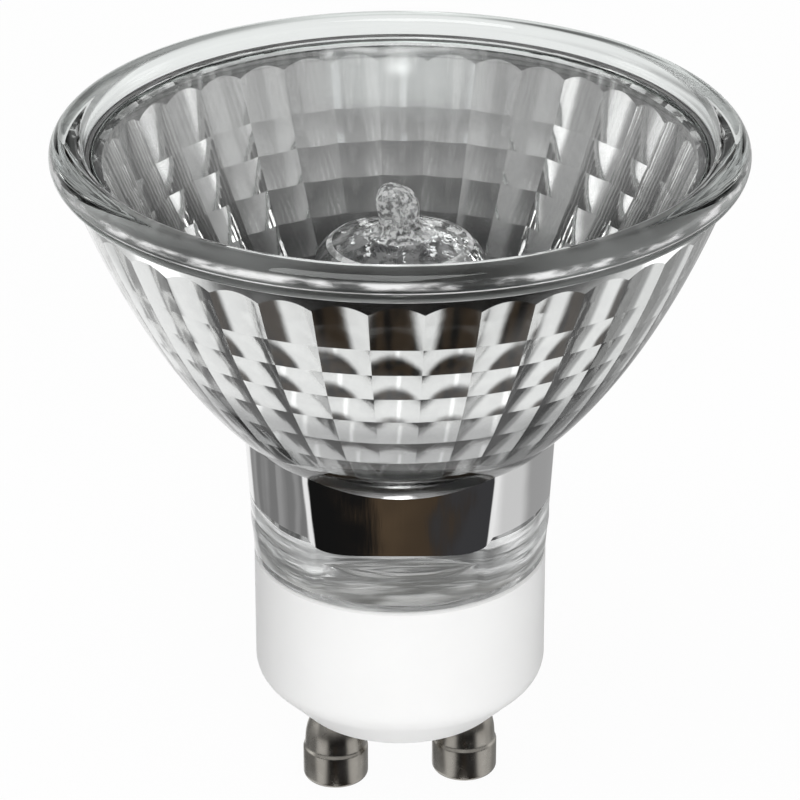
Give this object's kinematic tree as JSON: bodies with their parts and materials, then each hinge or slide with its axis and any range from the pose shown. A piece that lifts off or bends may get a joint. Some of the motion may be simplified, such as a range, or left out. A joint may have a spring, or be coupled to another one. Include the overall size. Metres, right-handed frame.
{
  "type": "halogen reflector spotlight bulb",
  "caption": "Halogen spotlight bulb: faceted glass reflector bowl with a cover glass and quartz burner, on a white ceramic cap with twist-lock contact pins.",
  "frame": {"origin": "midway between the two contact pins, in the plane of their tips", "axes": "+Z along the lamp's axis from the pins to the cover glass, +X through the two pins, +Y square to both"},
  "size_m": [0.0506, 0.0506, 0.0536],
  "materials": {
    "pressed_glass": "clear pressed glass, mirror-coated on its facets",
    "cover_glass": "clear polished sheet glass",
    "sealant": "clear silicone",
    "quartz": "clear fused quartz",
    "tungsten": "drawn tungsten",
    "molybdenum": "drawn molybdenum",
    "nickel_wire": "drawn nickel",
    "cement": "matt lamp cement",
    "white_ceramic": "white satin ceramic",
    "nickel_plate": "nickel-plated, polished"
  },
  "bodies": {
    "root": {"reflector": "pressed_glass", "front_glass": "cover_glass", "front_sealant": "sealant", "capsule_envelope": "quartz", "filament": "tungsten", "filament_support": "molybdenum", "lead_in_left": "molybdenum", "lead_in_right": "molybdenum", "foil_left": "molybdenum", "foil_right": "molybdenum", "outer_lead_left": "nickel_wire", "outer_lead_right": "nickel_wire", "fuse_wire": "nickel_wire", "capsule_cement": "cement", "base_cement": "cement", "base_shell": "white_ceramic", "contact_pin_left": "nickel_plate", "contact_pin_right": "nickel_plate"}
  },
  "joints": []
}
